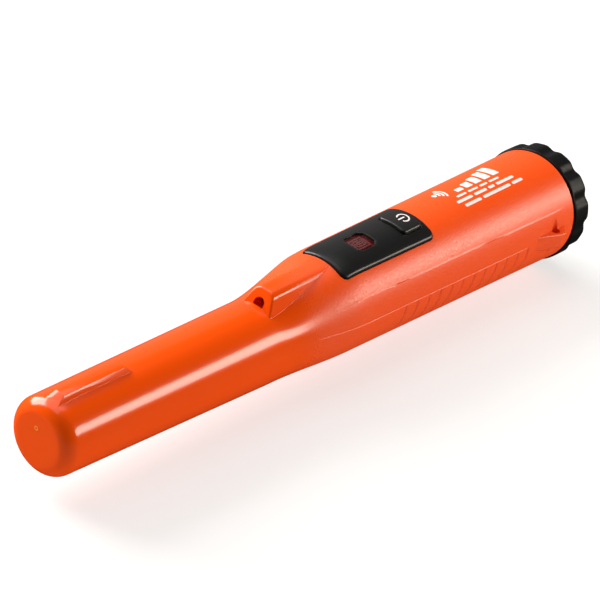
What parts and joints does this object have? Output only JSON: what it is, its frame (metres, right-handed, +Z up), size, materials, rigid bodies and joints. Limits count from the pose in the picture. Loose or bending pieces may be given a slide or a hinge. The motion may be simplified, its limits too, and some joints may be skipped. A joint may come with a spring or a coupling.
{
  "type": "pinpointing metal detector",
  "caption": "Hand-held pinpointing metal detector: coil probe, eccentric flare with a torch, tapered grip with a power key and indicator window, lanyard lug and lobed screw cap.",
  "frame": {"origin": "on the surface the tool lies on, under the middle of its bounding box", "axes": "+X from the probe tip towards the battery cap, +Z up through the power key, -Y towards the lanyard lug"},
  "size_m": [0.24, 0.0425, 0.0402],
  "materials": {
    "casing_orange": "satin",
    "panel_black": "satin",
    "rubber_black": "matte",
    "cap_black": "satin",
    "window_red": "gloss",
    "diffuser_pale": "matte",
    "lamp_clear": "gloss",
    "foam_gray": "matte",
    "shield_foil": "satin",
    "former_ivory": "matte",
    "ferrite_gray": "satin",
    "copper_wire": "satin",
    "wire_red": "satin",
    "wire_black": "satin",
    "board_green": "satin",
    "chip_black": "matte",
    "chassis_gray": "matte",
    "steel_bright": "satin",
    "contact_gold": "satin",
    "jacket_steel": "satin",
    "cell_gray": "matte",
    "switch_white": "matte"
  },
  "bodies": {
    "housing": {"casing": "casing_orange", "tip_foam": "foam_gray", "shield_sleeve": "shield_foil", "coil_former": "former_ivory", "ferrite_rod": "ferrite_gray", "transmit_winding": "copper_wire", "receive_winding": "copper_wire", "coil_leads": "copper_wire", "torch_lamp": "lamp_clear", "torch_leads": "wire_red", "control_panel": "panel_black", "panel_gasket": "foam_gray", "window_lens": "window_red", "light_diffuser": "diffuser_pale", "indicator_lamp": "switch_white", "button_seal": "rubber_black", "switch_body": "chip_black", "circuit_board": "board_green", "board_chips": "chip_black", "chassis": "chassis_gray", "chassis_screws": "steel_bright", "buzzer": "chip_black", "vibration_motor": "steel_bright", "snap_plate": "chip_black", "snap_contacts": "contact_gold", "battery_lead_red": "wire_red", "battery_lead_black": "wire_black", "battery_jacket": "jacket_steel", "battery_cells": "cell_gray", "battery_terminals": "steel_bright"},
    "power_key": {"power_button": "rubber_black", "switch_plunger": "switch_white"},
    "rotor": {"motor_shaft": "steel_bright", "eccentric_weight": "steel_bright"},
    "pad": {"battery_pad": "foam_gray"},
    "cap": {"battery_cap": "cap_black", "cap_seal_ring": "rubber_black"}
  },
  "joints": [
    {"name": "power_press", "type": "slide", "parent": "housing", "child": "power_key", "axis": [0, 0, -1], "range_m": [0, 0.0005], "stiffness_N_per_m": 1500, "springref_m": -0.0002},
    {"name": "motor_spin", "type": "hinge", "parent": "housing", "child": "rotor", "pos_m": [0.01, 0.00125, 0.0167], "axis": [1, 0, 0], "continuous": true},
    {"name": "cap_travel", "type": "slide", "parent": "housing", "child": "pad", "axis": [1, 0, 0], "range_m": [0, 0.0076]},
    {"name": "cap_turn", "type": "hinge", "parent": "pad", "child": "cap", "pos_m": [0.115, 0.00125, 0.0199], "axis": [1, 0, 0], "range_deg": [0, 900]}
  ],
  "couplings": [
    {"joint": "cap_travel", "follows": "cap_turn", "m_per_rad": 0.00047746}
  ]
}
